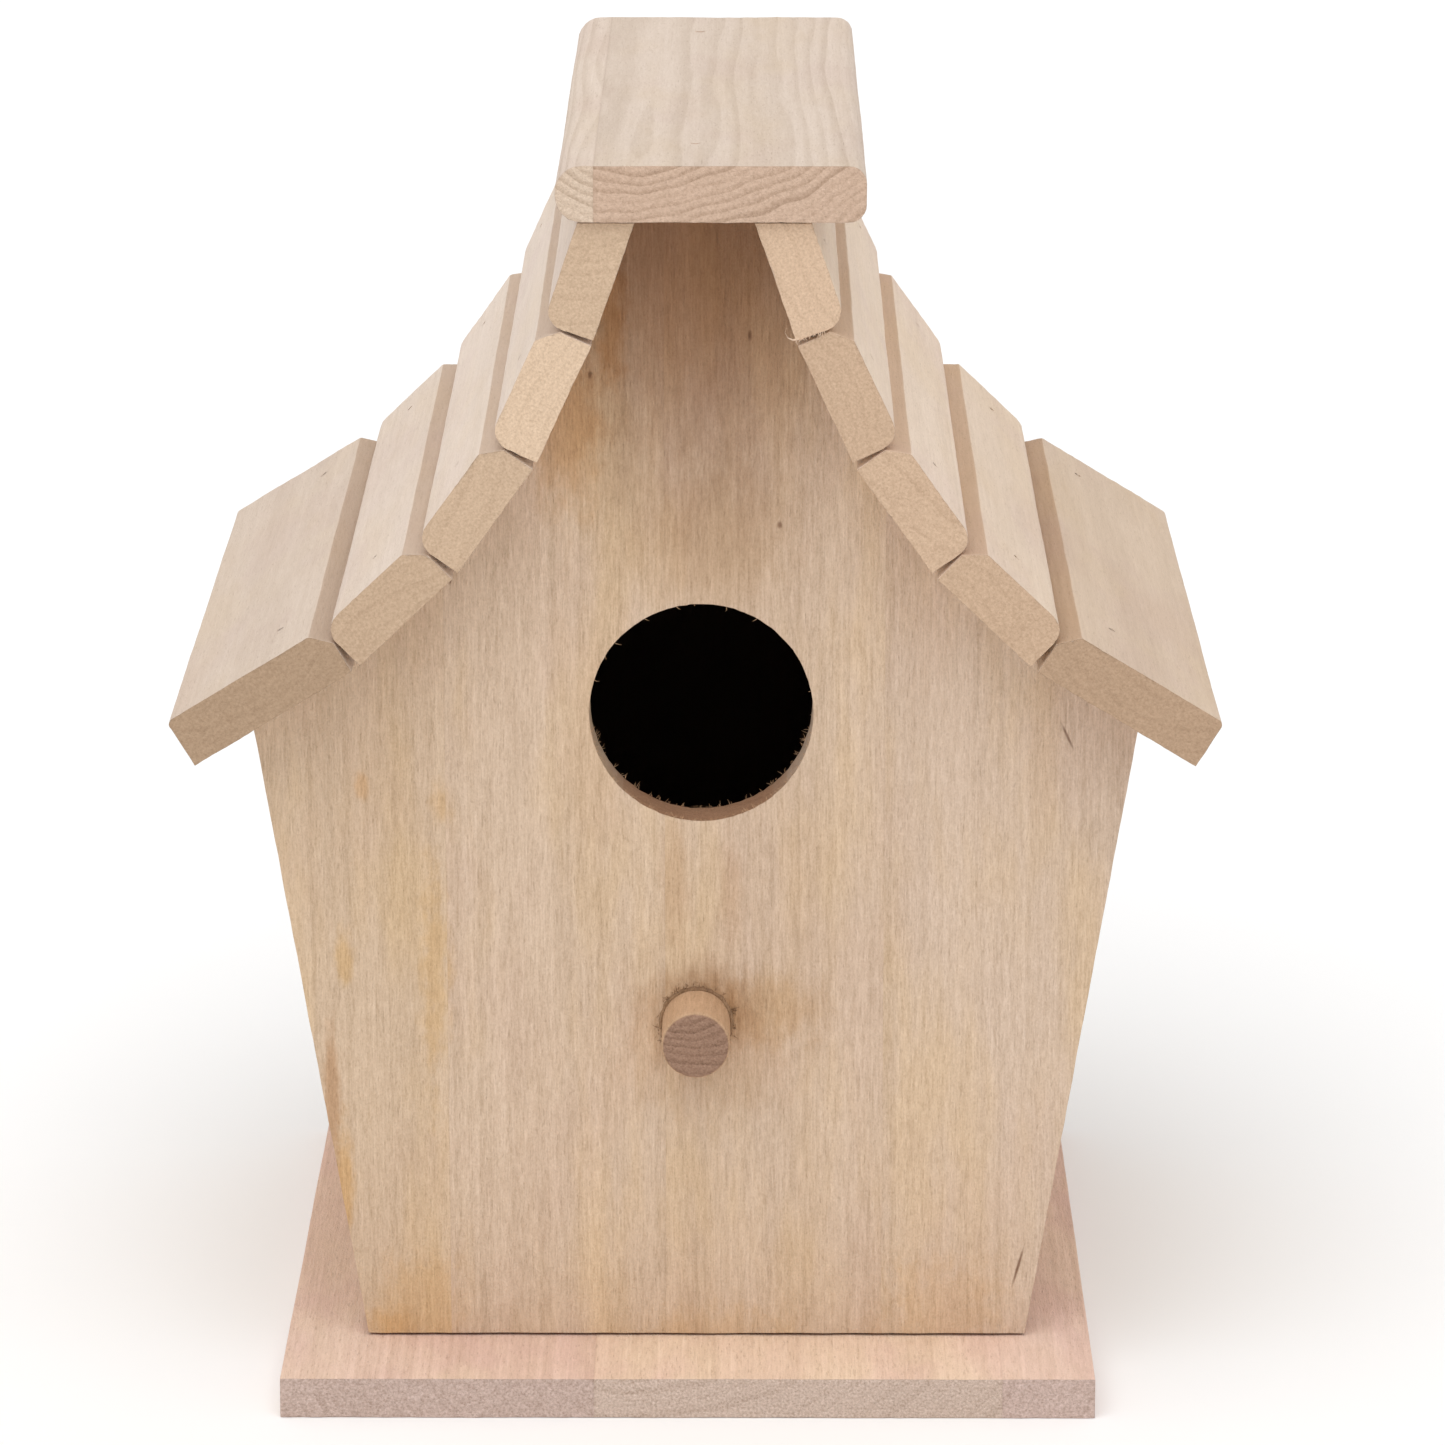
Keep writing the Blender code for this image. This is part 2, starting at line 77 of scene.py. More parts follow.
def makeCamera(settings):
    data = bpy.data.cameras.new("camera")
    data.lens = settings["lens"]
    data.sensor_width = 36.0
    data.clip_start = 0.05
    data.clip_end = 50.0
    camera = bpy.data.objects.new("camera", data)
    camera.location = settings["cameraPlace"]
    down = math.radians(90.0 - settings["cameraDown"])
    camera.rotation_euler = (down, 0.0, -math.radians(settings["cameraYaw"]))
    scene.collection.objects.link(camera)
    scene.camera = camera


def makeSoftLight(name, direction, spread, strength):
    data = bpy.data.lights.new(name, "SUN")
    data.angle = math.radians(spread)
    data.energy = strength
    light = bpy.data.objects.new(name, data)
    light.location = Vector(direction)
    light.rotation_euler = (-Vector(direction)).to_track_quat("-Z", "Y").to_euler()
    scene.collection.objects.link(light)


def makeStudio(settings):
    world = bpy.data.worlds.new("studio")
    world.use_nodes = True
    sky = world.node_tree.nodes["Background"]
    sky.inputs["Color"].default_value = (*settings["skyTone"], 1.0)
    sky.inputs["Strength"].default_value = settings["skyStrength"]
    scene.world = world
    scene.view_settings.view_transform = "Standard"
    makeSoftLight("keyLight", settings["keyFrom"], settings["keySpread"], settings["keyStrength"])
    sheet = bmesh.new()
    bmesh.ops.create_grid(sheet, x_segments=1, y_segments=1, size=settings["floorHalf"])
    data = bpy.data.meshes.new("paperFloor")
    sheet.to_mesh(data)
    sheet.free()
    floor = bpy.data.objects.new("paperFloor", data)
    paper = bpy.data.materials.new("whitePaper")
    paper.use_nodes = True
    shader = paper.node_tree.nodes["Principled BSDF"]
    shader.inputs["Base Color"].default_value = (*settings["floorTone"], 1.0)
    shader.inputs["Roughness"].default_value = 0.9
    data.materials.append(paper)
    scene.collection.objects.link(floor)


makeCamera(studio)
makeStudio(studio)
print("camera and studio made")


def addNode(tree, kind, sockets=None, **settings):
    node = tree.nodes.new("ShaderNode" + kind)
    for key, value in settings.items():
        setattr(node, key, value)
    for key, value in (sockets or {}).items():
        if isinstance(value, bpy.types.NodeSocket):
            tree.links.new(value, node.inputs[key])
        else:
            node.inputs[key].default_value = value
    return node


def sums(tree, operation, *values):
    node = addNode(tree, "Math", dict(enumerate(values)), operation=operation)
    return node.outputs[0]


def stretchBy(tree, place, stretch):
    node = addNode(tree, "VectorMath", {0: place, 1: stretch}, operation="MULTIPLY")
    return node.outputs[0]


def grainNoise(tree, place, stretch, detail=2.0, rough=0.55, seed=0.0):
    shift = (seed, seed * 1.7, seed * 0.6)
    stretched = stretchBy(tree, place, stretch)
    at = addNode(tree, "VectorMath", {0: stretched, 1: shift}, operation="ADD").outputs[0]
    cloud = addNode(tree, "TexNoise", {"Vector": at, "Scale": 1.0, "Detail": detail, "Roughness": rough})
    return cloud.outputs[0]


def ramp(tree, value, low, high, outLow=0.0, outHigh=1.0):
    node = addNode(tree, "MapRange", {"Value": value, "From Min": low, "From Max": high,
                                      "To Min": outLow, "To Max": outHigh})
    node.interpolation_type = "SMOOTHSTEP"
    return node.outputs[0]


def blendTone(tree, share, first, second, how="MIX"):
    node = addNode(tree, "Mix", {0: share, 6: first, 7: second}, data_type="RGBA", blend_type=how)
    return node.outputs[2]


def swing(tree, value, amount):
    return sums(tree, "MULTIPLY_ADD", value, 2.0 * amount, -amount)


# How far the surface looks along a direction, from 0 to 1 between the two cosines
def facingShare(tree, normal, direction, low, high, bothWays=False):
    facing = addNode(tree, "VectorMath", {0: normal, 1: direction}, operation="DOT_PRODUCT").outputs["Value"]
    if bothWays:
        facing = sums(tree, "ABSOLUTE", facing)
    return ramp(tree, facing, low, high)


# Wood goes browner as it goes darker, so red changes less than blue
def shadeWood(tree, colour, light, redPower, bluePower):
    shade = addNode(tree, "CombineXYZ", {0: sums(tree, "POWER", light, redPower), 1: light,
                                         2: sums(tree, "POWER", light, bluePower)}).outputs[0]
    return addNode(tree, "VectorMath", {0: colour, 1: shade}, operation="MULTIPLY").outputs[0]


# A colour as a paint program shows it, in the shader's own linear values
def tone(red, green, blue):
    parts = []
    for value in (red, green, blue):
        share = value / 255.0
        parts.append(share / 12.92 if share <= 0.04045 else ((share + 0.055) / 1.055) ** 2.4)
    return (*parts, 1.0)


# Lengths in a wood dictionary are millimetres, in the board's own frame: across, through, along the grain
softwood = {
    "pale": (214, 189, 162),    # the face's main tone, and its warmer and pinker patches
    "warm": (212, 176, 128),
    "pink": (200, 170, 152),
    "end": (190, 160, 130),
    "line": 0.08,               # contrast of the long straight lines
    "fibre": 0.16,              # contrast of the fibres, about 1 mm wide
    "fineFibre": 0.24,          # contrast of the short fine fibres
    "band": 0.12,               # contrast of the broad lengthwise bands
    "fuzz": 0.22,               # contrast of the raised fuzz all over
    "ring": 0.06,               # darkness of a growth ring's late wood
    "ringWidth": 2.6,
    "pith": (14.0, -38.0),      # the tree's middle, from the board's
    "wobble": 7.0,
    "pore": 0.16,
    "endRing": 0.12,
    "endSpeckle": 0.45,
    "warmShare": 0.45,
    "pinkShare": 0.45,
    "relief": 0.16,
    "faceScale": 1.0,           # lightness of the faces, and below of the ends
    "endScale": 1.0,
    "glueLines": (),            # across, from the board's middle
    "stripTones": (),           # each strip's change of tone from the one before it
    "stripEnds": (),            # the same on the end grain, where it differs
    "seam": 0.10,               # darkness of the glue line itself
    "stainsAndShade": (),               # stains and painted shade: centre in metres, half sizes, lean in degrees, tone, strength, raggedness
    "inside": None,             # the direction of the faces inside the nest box, which get painted shade
    "chamfer": None,            # the direction of a planed-off corner's face, and its tone
    "chamferTone": (226, 218, 210),
    "seed": 0.0,
}
# Each pattern: stretch per millimetre across, through and along the grain, detail, roughness, seed shift
woodPatterns = {
    "line": ((1.7, 1.7, 0.012), 2.0, 0.6, 0.0),
    "fibre": ((1.1, 1.1, 0.09), 2.0, 0.6, 2.0),
    "fineFibre": ((3.0, 3.0, 0.32), 2.0, 0.7, 3.0),
    "band": ((0.15, 0.15, 0.005), 2.0, 0.5, 7.0),
    "warmPatch": ((0.07, 0.07, 0.016), 3.0, 0.6, 11.0),
    "pinkPatch": ((0.05, 0.05, 0.02), 3.0, 0.6, 17.0),
    "fuzz": ((3.2, 3.2, 2.0), 2.0, 0.7, 23.0),
    "pore": ((3.4, 3.4, 0.5), 1.0, 0.5, 29.0),
    "end": ((2.2, 2.2, 2.2), 3.0, 0.7, 31.0),
    "blot": ((0.30, 0.30, 0.20), 3.0, 0.6, 37.0),
}
woodDetails = {
    "stripJump": (19.3, 6.1, 57.0),         # how far apart two glued strips grew in their trees
    "warpStretch": (0.05, 0.05, 0.006),     # of the noise that bends the growth rings
    "seamWidth": (0.08, 0.30),              # half widths of a glue line's dark middle and of its soft edge
    "seamTone": (150, 116, 88),
    # painted shade for the faces inside the nest box
    "insideShadeTone": (62, 50, 40),
}


def woodFinish(name, wood, middle, turn):
    wood = {**softwood, **wood}
    material = bpy.data.materials.new(name)
    material.use_nodes = True
    tree = material.node_tree
    tree.nodes.clear()
    lookup = addNode(tree, "TexCoord")
    bodyPlace = lookup.outputs["Object"]
    turned = Euler(turn).to_matrix() @ (Vector(middle) * 1000.0)
    grain = addNode(tree, "Mapping", {"Vector": bodyPlace, "Location": -turned, "Rotation": turn,
                                      "Scale": (1000.0, 1000.0, 1000.0)}).outputs[0]
    across = addNode(tree, "SeparateXYZ", {0: grain})

    # Edge-glued boards: each strip has its own piece of the tree
    strip = 0.0
    for line in wood["glueLines"]:
        past = sums(tree, "GREATER_THAN", across.outputs[0], line)
        strip = past if strip == 0.0 else sums(tree, "ADD", strip, past)
    place = grain
    if wood["glueLines"]:
        jumps = [sums(tree, "MULTIPLY", strip, step) for step in woodDetails["stripJump"]]
        jump = addNode(tree, "CombineXYZ", dict(enumerate(jumps))).outputs[0]
        place = addNode(tree, "VectorMath", {0: grain, 1: jump}, operation="ADD").outputs[0]

    pattern = {}
    for key, (stretch, detail, rough, shift) in woodPatterns.items():
        pattern[key] = grainNoise(tree, place, stretch, detail, rough, wood["seed"] + shift)
    fibre, fineFibre, band, fuzz = (pattern[key] for key in ("fibre", "fineFibre", "band", "fuzz"))
    pore = ramp(tree, pattern["pore"], 0.64, 0.74)

    # Growth rings round the pith, warped
    warpPlace = stretchBy(tree, place, woodDetails["warpStretch"])
    warp = addNode(tree, "TexNoise", {"Vector": warpPlace, "Scale": 1.0, "Detail": 2.0,
                                      "Roughness": 0.5}).outputs[1]
    shifted = addNode(tree, "VectorMath", {0: warp, 1: (wood["wobble"],) * 3, 2: place},
                      operation="MULTIPLY_ADD").outputs[0]
    pith = (*wood["pith"], 0.0)
    fromPith = addNode(tree, "VectorMath", {0: shifted, 1: pith}, operation="SUBTRACT").outputs[0]
    radius = addNode(tree, "VectorMath", {0: stretchBy(tree, fromPith, (1.0, 1.0, 0.0))},
                     operation="LENGTH").outputs["Value"]
    rings = sums(tree, "DIVIDE", radius, wood["ringWidth"])
    phase = sums(tree, "FRACT", rings)
    year = addNode(tree, "TexWhiteNoise", {"W": sums(tree, "FLOOR", rings)}, noise_dimensions="1D").outputs[0]
    rise = ramp(tree, phase, 0.25, 0.86)
    fall = ramp(tree, phase, 0.90, 1.0, 1.0, 0.0)
    late = sums(tree, "MULTIPLY", sums(tree, "MULTIPLY", rise, fall), ramp(tree, year, 0.0, 1.0, 0.25, 1.0))

    # Faces along the grain: contrasts add up to one lightness over the patchy tones
    light = swing(tree, fibre, wood["fibre"])
    for key in ("fineFibre", "band", "line", "fuzz"):
        light = sums(tree, "ADD", light, swing(tree, pattern[key], wood[key]))
    light = sums(tree, "MULTIPLY_ADD", pore, -wood["pore"], light)
    light = sums(tree, "MULTIPLY_ADD", late, -wood["ring"], light)
    light = sums(tree, "MULTIPLY", sums(tree, "ADD", light, 1.0), wood["faceScale"])
    warmth = ramp(tree, pattern["warmPatch"], 0.42, 0.68, 0.0, wood["warmShare"])
    face = blendTone(tree, warmth, tone(*wood["pale"]), tone(*wood["warm"]))
    pinkness = ramp(tree, pattern["pinkPatch"], 0.45, 0.65, 0.0, wood["pinkShare"])
    face = shadeWood(tree, blendTone(tree, pinkness, face, tone(*wood["pink"])), light, 0.86, 1.20)

    # End grain is darker, coarser and shows its rings
    normal = lookup.outputs["Normal"]
    alongGrain = Euler(turn).to_matrix().inverted() @ Vector((0.0, 0.0, 1.0))
    endShare = facingShare(tree, normal, alongGrain, 0.45, 0.85, bothWays=True)
    endLight = swing(tree, pattern["end"], wood["endSpeckle"])
    endLight = sums(tree, "MULTIPLY_ADD", late, -wood["endRing"], endLight)
    endLight = sums(tree, "ADD", sums(tree, "ADD", endLight, swing(tree, band, 0.5 * wood["band"])), 1.0)
    endLight = sums(tree, "MULTIPLY", endLight, wood["endScale"])
    end = shadeWood(tree, tone(*wood["end"])[:3], endLight, 0.86, 1.15)
    colour = blendTone(tree, endShare, face, end)
    stripEnds = wood["stripEnds"] or wood["stripTones"]
    for line, stripTone, stripEnd in zip(wood["glueLines"], wood["stripTones"], stripEnds):
        change = blendTone(tree, endShare, (*stripTone, 1.0), (*stripEnd, 1.0))
        changed = addNode(tree, "VectorMath", {0: colour, 1: change}, operation="MULTIPLY").outputs[0]
        colour = blendTone(tree, sums(tree, "GREATER_THAN", across.outputs[0], line), colour, changed)
        fromLine = sums(tree, "ABSOLUTE", sums(tree, "SUBTRACT", across.outputs[0], line))
        seam = ramp(tree, fromLine, *woodDetails["seamWidth"], wood["seam"], 0.0)
        colour = blendTone(tree, seam, colour, tone(*woodDetails["seamTone"]), "MULTIPLY")

    # Stains and painted shade: soft-edged spots and streaks that multiply the tone
    for centre, half, lean, stainAndShadeTone, strength, ragged in wood["stainsAndShade"]:
        away = addNode(tree, "VectorMath", {0: bodyPlace, 1: centre}, operation="SUBTRACT").outputs[0]
        if lean:
            away = addNode(tree, "VectorRotate", {"Vector": away, "Angle": math.radians(lean)},
                           rotation_type="Y_AXIS").outputs[0]
        away = stretchBy(tree, away, tuple(1000.0 / size for size in half))
        reach = addNode(tree, "VectorMath", {0: away}, operation="LENGTH").outputs["Value"]
        reach = sums(tree, "ADD", reach, swing(tree, pattern["blot"], 1.6 * ragged))
        reach = sums(tree, "ADD", reach, swing(tree, fibre, 0.5 * ragged))
        share = ramp(tree, reach, 0.25, 1.1, strength, 0.0)
        colour = blendTone(tree, share, colour, tone(*stainAndShadeTone), "MULTIPLY")
    if wood["chamfer"]:         # the planed-off corner's face, in the groove between slats, is made darker and greyer
        share = facingShare(tree, normal, wood["chamfer"], 0.90, 0.95)
        colour = blendTone(tree, share, colour, tone(*wood["chamferTone"]), "MULTIPLY")
    if wood["inside"]:          # painted shade: the faces inside the nest box are darkened
        share = facingShare(tree, normal, wood["inside"], 0.6, 0.8)
        colour = blendTone(tree, share, colour, tone(*woodDetails["insideShadeTone"]), "MULTIPLY")

    height = sums(tree, "MULTIPLY_ADD", fibre, 0.5, sums(tree, "MULTIPLY", fineFibre, 0.8))
    height = sums(tree, "MULTIPLY_ADD", pore, -2.0 * wood["pore"], height)
    height = sums(tree, "MULTIPLY_ADD", fuzz, 0.8, height)
    height = sums(tree, "MULTIPLY_ADD", sums(tree, "MULTIPLY", endShare, pattern["end"]), 1.2, height)
    relief = addNode(tree, "Bump", {"Height": height, "Distance": wood["relief"] * mm, "Strength": 1.0})
    roughness = sums(tree, "MULTIPLY_ADD", fineFibre, 0.16, 0.66)
    shader = addNode(tree, "BsdfPrincipled", {"Base Color": colour, "Roughness": roughness,
                                              "Normal": relief.outputs[0], "Specular IOR Level": 0.35})
    output = addNode(tree, "OutputMaterial")
    tree.links.new(shader.outputs[0], output.inputs["Surface"])
    return material


nailPlaces = []
for node in frame["nodes"]:
    if "nail" in node:
        low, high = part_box(node)
        nailPlaces.append((low - Vector((0.4 * mm,) * 3), high + Vector((0.4 * mm,) * 3)))


def byNail(point):
    return any(all(low[axis] <= point[axis] <= high[axis] for axis in range(3)) for low, high in nailPlaces)


# The carved board as one clean shell with flat faces joined up
def carvedBoard(node):
    shell = bmesh.new()
    shell.from_mesh(frame["nodes"][node].data)
    bmesh.ops.remove_doubles(shell, verts=shell.verts, dist=1e-6)
    bmesh.ops.dissolve_limit(shell, angle_limit=math.radians(0.5), verts=shell.verts, edges=shell.edges)
    shell.normal_update()
    return shell


def easeEdges(shell, width, sharpFrom=40.0):
    limit = math.radians(sharpFrom)
    sharp = []
    for edge in shell.edges:
        if len(edge.link_faces) == 2 and edge.calc_face_angle() > limit:
            if not byNail((edge.verts[0].co + edge.verts[1].co) / 2.0):
                sharp.append(edge)
    bmesh.ops.bevel(shell, geom=sharp, offset=width, offset_type="OFFSET", segments=2, profile=0.5,
                    affect="EDGES", clamp_overlap=True, material=-1)


def sliceAcross(shell, direction, pitch, ends=()):
    direction = Vector(direction).normalized()
    reach = [vert.co.dot(direction) for vert in shell.verts]
    low, high = min(reach), max(reach)
    count = max(2, round((high - low) / pitch))
    stations = [low + (high - low) * step / count for step in range(1, count)]
    stations += [low + end for end in ends] + [high - end for end in ends]
    for station in sorted(stations):
        everything = shell.verts[:] + shell.edges[:] + shell.faces[:]
        bmesh.ops.bisect_plane(shell, geom=everything, dist=1e-7, plane_co=direction * station,
                               plane_no=direction)


# Saw and sanding marks: points move in and out along their normals
def roughen(shell, turn, wave, fuzz, seed):
    intoGrain = Euler(turn).to_matrix()
    offset = Vector((seed * 3.1, seed * 1.3, seed * 0.7))
    shell.normal_update()
    for vert in shell.verts:
        grain = (intoGrain @ vert.co) * 1000.0
        slow = noise.noise(Vector((grain.x / 9.0, grain.y / 9.0, grain.z / 40.0)) + offset)
        fast = noise.noise(Vector((grain.x / 0.7, grain.y / 0.7, grain.z / 6.0)) + offset)
        endOn = abs((intoGrain @ vert.normal).z)
        vert.co += vert.normal * mm * (wave * (slow - 0.3) + fuzz * (0.35 + 0.65 * endOn) * (fast - 0.4))


def addPiece(name, shell, material, node):
    data = bpy.data.meshes.new(name)
    shell.to_mesh(data)
    shell.free()
    data.materials.clear()
    data.materials.append(material)
    piece = bpy.data.objects.new(name, data)
    scene.collection.objects.link(piece)
    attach(piece, nodeBody[node])
    return piece


def makeBoard(node, board):
    turn = tuple(math.radians(angle) for angle in board["turn"])
    low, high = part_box(node)
    shell = carvedBoard(node)
    easeEdges(shell, board["ease"] * mm)
    for direction, pitch in board["slices"]:
        sliceAcross(shell, direction, pitch * mm, [end * mm for end in board.get("ends", ())])
    roughen(shell, turn, board["wave"], board["fuzz"], board["wood"].get("seed", 0.0))
    material = woodFinish(node + "Grain", board["wood"], (low + high) / 2.0, turn)
    print(node, len(shell.faces), "faces")
    piece = addPiece(node + "_wood", shell, material, node)
    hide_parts(node)
    piece.data.shade_smooth()
    piece.data.set_sharp_from_angle(angle=math.radians(50.0))
    weighted = piece.modifiers.new("flatFaces", "WEIGHTED_NORMAL")
    weighted.keep_sharp = True
    weighted.weight = 80
    return piece


# Places on the front panel that its stains, painted shade and fibres follow
perchLow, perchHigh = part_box("perch_dowel")
perchX = (perchLow.x + perchHigh.x) / 2.0
perchZ = (perchLow.z + perchHigh.z) / 2.0
perchMiddle = Vector((perchX, frontFace, perchZ))
perchRadius = (perchHigh.x - perchLow.x) / 2.0
openings = {opening["name"]: opening["box_m"] for opening in frame["record"]["physics"]["openings"]}
holeLow, holeHigh = (Vector(corner) for corner in openings["entrance_hole"])
holeX = (holeLow.x + holeHigh.x) / 2.0
holeZ = (holeLow.z + holeHigh.z) / 2.0
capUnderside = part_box("ridge_cap")[0].z

frontPanel = {
    "turn": (0.0, 0.0, 0.0),
    "ease": 0.15,
    "slices": [((0, 0, 1), 1.3), ((1, 0, 0), 3.0)],
    "wave": 0.10,
    "fuzz": 0.22,
    "slot": "panel_wood",
    "wood": {
        "pale": (208, 182, 155),
        "warm": (211, 178, 132),
        "pink": (202, 172, 148),
        "glueLines": (-42.8, -5.3, 32.2),
        "stripTones": ((1.01, 1.02, 1.06), (0.985, 0.985, 0.99), (1.01, 1.02, 1.05)),
        "end": (180, 138, 106),
        "pore": 0.10,
        "fineFibre": 0.32,
        "line": 0.12,
        "pinkShare": 0.3,
        "seam": 0.03,
        "stainsAndShade": [
            # Painted shade right under the cap and above the entrance, where the roof's overhang shades the
            # panel; then a warm yellow patch left of the peak
            ((0.0, frontFace, capUnderside + 0.005), (34.0, 30.0, 74.0), 0, (182, 158, 138), 1.0, 0.06),
            ((holeX + 0.0021, frontFace, holeZ + 0.0300), (17.0, 30.0, 17.0), 0, (234, 222, 204), 0.7, 0.15),
            ((-0.0220, frontFace, 0.1720), (8.0, 12.0, 22.0), 0, (250, 226, 190), 0.7, 0.3),
            # Resin: a yellow streak and spots towards the left side
            ((-0.0450, frontFace, 0.0745), (3.4, 12.0, 25.0), 0, (252, 238, 204), 0.7, 0.45),
            ((-0.0437, frontFace, 0.1040), (2.4, 12.0, 5.0), 0, (252, 236, 202), 0.6, 0.4),
            ((-0.0572, frontFace, 0.1068), (1.6, 12.0, 3.6), 0, (250, 228, 194), 0.6, 0.4),
            ((-0.0605, frontFace, 0.0765), (2.2, 12.0, 6.0), 0, (252, 236, 196), 0.7, 0.4),
            ((-0.0610, frontFace, 0.0360), (2.0, 12.0, 13.0), 0, (250, 228, 184), 0.8, 0.4),
            ((0.0020, frontFace, 0.0070), (18.0, 12.0, 7.0), 0, (252, 238, 210), 0.5, 0.5),
            ((0.0430, frontFace, 0.0120), (13.0, 12.0, 12.0), 0, (252, 237, 206), 0.45, 0.5),
            ((-0.0480, frontFace, 0.0130), (9.0, 12.0, 12.0), 0, (252, 237, 206), 0.45, 0.5),
            ((-0.0540, frontFace, 0.0090), (6.0, 12.0, 4.4), 0, (252, 236, 204), 0.6, 0.4),
            ((-0.0140, frontFace, 0.1880), (3.4, 12.0, 14.0), 0, (250, 228, 196), 0.8, 0.4),
            ((-0.0630, frontFace, 0.0520), (1.8, 12.0, 16.0), 0, (228, 206, 184), 0.8, 0.4),
            # Painted shade round the perch, where the dowel shades the panel, reaching to its right and
            # below; then drips below the entrance
            ((perchX + 0.001, frontFace, perchZ + 0.0018), (11.5, 20, 11.5), 0, (214, 196, 178), 0.75, 0.25),
            ((perchX + 0.0110, frontFace, perchZ + 0.0023), (15.0, 20.0, 8.0), 0, (240, 226, 198), 0.6, 0.3),
            ((perchX + 0.0030, frontFace, perchZ - 0.0047), (19.0, 20.0, 15.0), 0, (244, 236, 226), 0.8, 0.3),
            ((holeX - 0.0044, frontFace, holeZ - 0.0300), (3.4, 12.0, 16.0), 0, (240, 232, 226), 0.8, 0.35),
            ((holeX + 0.0051, frontFace, holeZ - 0.0320), (2.6, 12.0, 14.0), 0, (242, 234, 228), 0.8, 0.35),
            # Fine splits near the edges, and pits
            ((0.0633, frontFace, 0.1159), (0.32, 4.0, 3.0), 25, (120, 88, 64), 0.7, 0.05),
            ((0.0560, frontFace, 0.0200), (0.34, 4.0, 4.6), -15, (132, 98, 72), 0.8, 0.05),
            ((0.0142, frontFace, 0.1529), (0.55, 4.0, 0.8), 0, (140, 108, 82), 0.7, 0.05),
            ((0.0091, frontFace, 0.1856), (0.45, 4.0, 1.2), 0, (140, 108, 82), 0.7, 0.05),
            ((-0.0177, frontFace, 0.1788), (0.50, 4.0, 0.9), 0, (140, 108, 82), 0.7, 0.05),
            ((-0.0416, frontFace, 0.1433), (0.45, 4.0, 1.1), 0, (146, 114, 88), 0.7, 0.05),
        ],
        "seed": 1.0,
    },
}
panelPiece = makeBoard("front_panel", frontPanel)

# A nail stopped with filler, sanded flush with the board's face; lengths in millimetres
nailFiller = {
    "radius": 0.85,
    "depth": 0.30,
    "proud": 0.02,
    "sides": 14,
}


# face is the board face's axis and its place on that axis
def fillNail(node, board, turn, face):
    low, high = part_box(node)
    radius = nailFiller["radius"] * mm
    plug = bmesh.new()
    bmesh.ops.create_cone(plug, cap_ends=True, segments=nailFiller["sides"], radius1=0.9 * radius,
                          radius2=radius, depth=nailFiller["depth"] * mm)
    sunk = (nailFiller["proud"] - 0.5 * nailFiller["depth"]) * mm
    bmesh.ops.translate(plug, verts=plug.verts, vec=(0.0, 0.0, sunk))
    bmesh.ops.rotate(plug, verts=plug.verts, cent=(0.0, 0.0, 0.0), matrix=Euler(turn).to_matrix())
    place = (low + high) / 2.0
    place[face[0]] = face[1]
    bmesh.ops.translate(plug, verts=plug.verts, vec=place)
    addPiece(node + "_filler", plug, board.data.materials[0], node)


for node in sorted(frame["nodes"]):
    if node.startswith("wall_nail_front"):
        fillNail(node, panelPiece, (math.pi / 2.0, 0.0, 0.0), (1, frontFace))
print("nail fillers made")


# A torn fibre: a thin closed strand through the points, tapering to its tip
def addStrand(shell, points, thick):
    way = points[1] - points[0]
    turn = way.to_track_quat("Z", "Y").to_matrix()
    made = bmesh.ops.create_cone(shell, cap_ends=True, segments=4, radius1=thick, radius2=0.85 * thick,
                                 depth=way.length)["verts"]
    bmesh.ops.rotate(shell, verts=made, cent=(0.0, 0.0, 0.0), matrix=turn)
    bmesh.ops.translate(shell, verts=made, vec=(points[0] + points[1]) / 2.0)
    faces = {face for vert in made for face in vert.link_faces if len(face.verts) == 4}
    tip = min(faces, key=lambda face: (face.calc_center_median() - points[1]).length)
    for start, end in zip(points[1:], points[2:]):
        tip = bmesh.ops.extrude_discrete_faces(shell, faces=[tip])["faces"][0]
        bmesh.ops.translate(shell, verts=tip.verts, vec=end - start)
        for vert in tip.verts:
            vert.co = end + (vert.co - end) * 0.6


def makeFibres(name, node, strands, thick, material):
    shell = bmesh.new()
    for points in strands:
        addStrand(shell, points, thick * mm)
    bmesh.ops.recalc_face_normals(shell, faces=shell.faces)
    if shell.calc_volume(signed=True) < 0.0:
        bmesh.ops.reverse_faces(shell, faces=shell.faces)
    addPiece(name, shell, material, node)


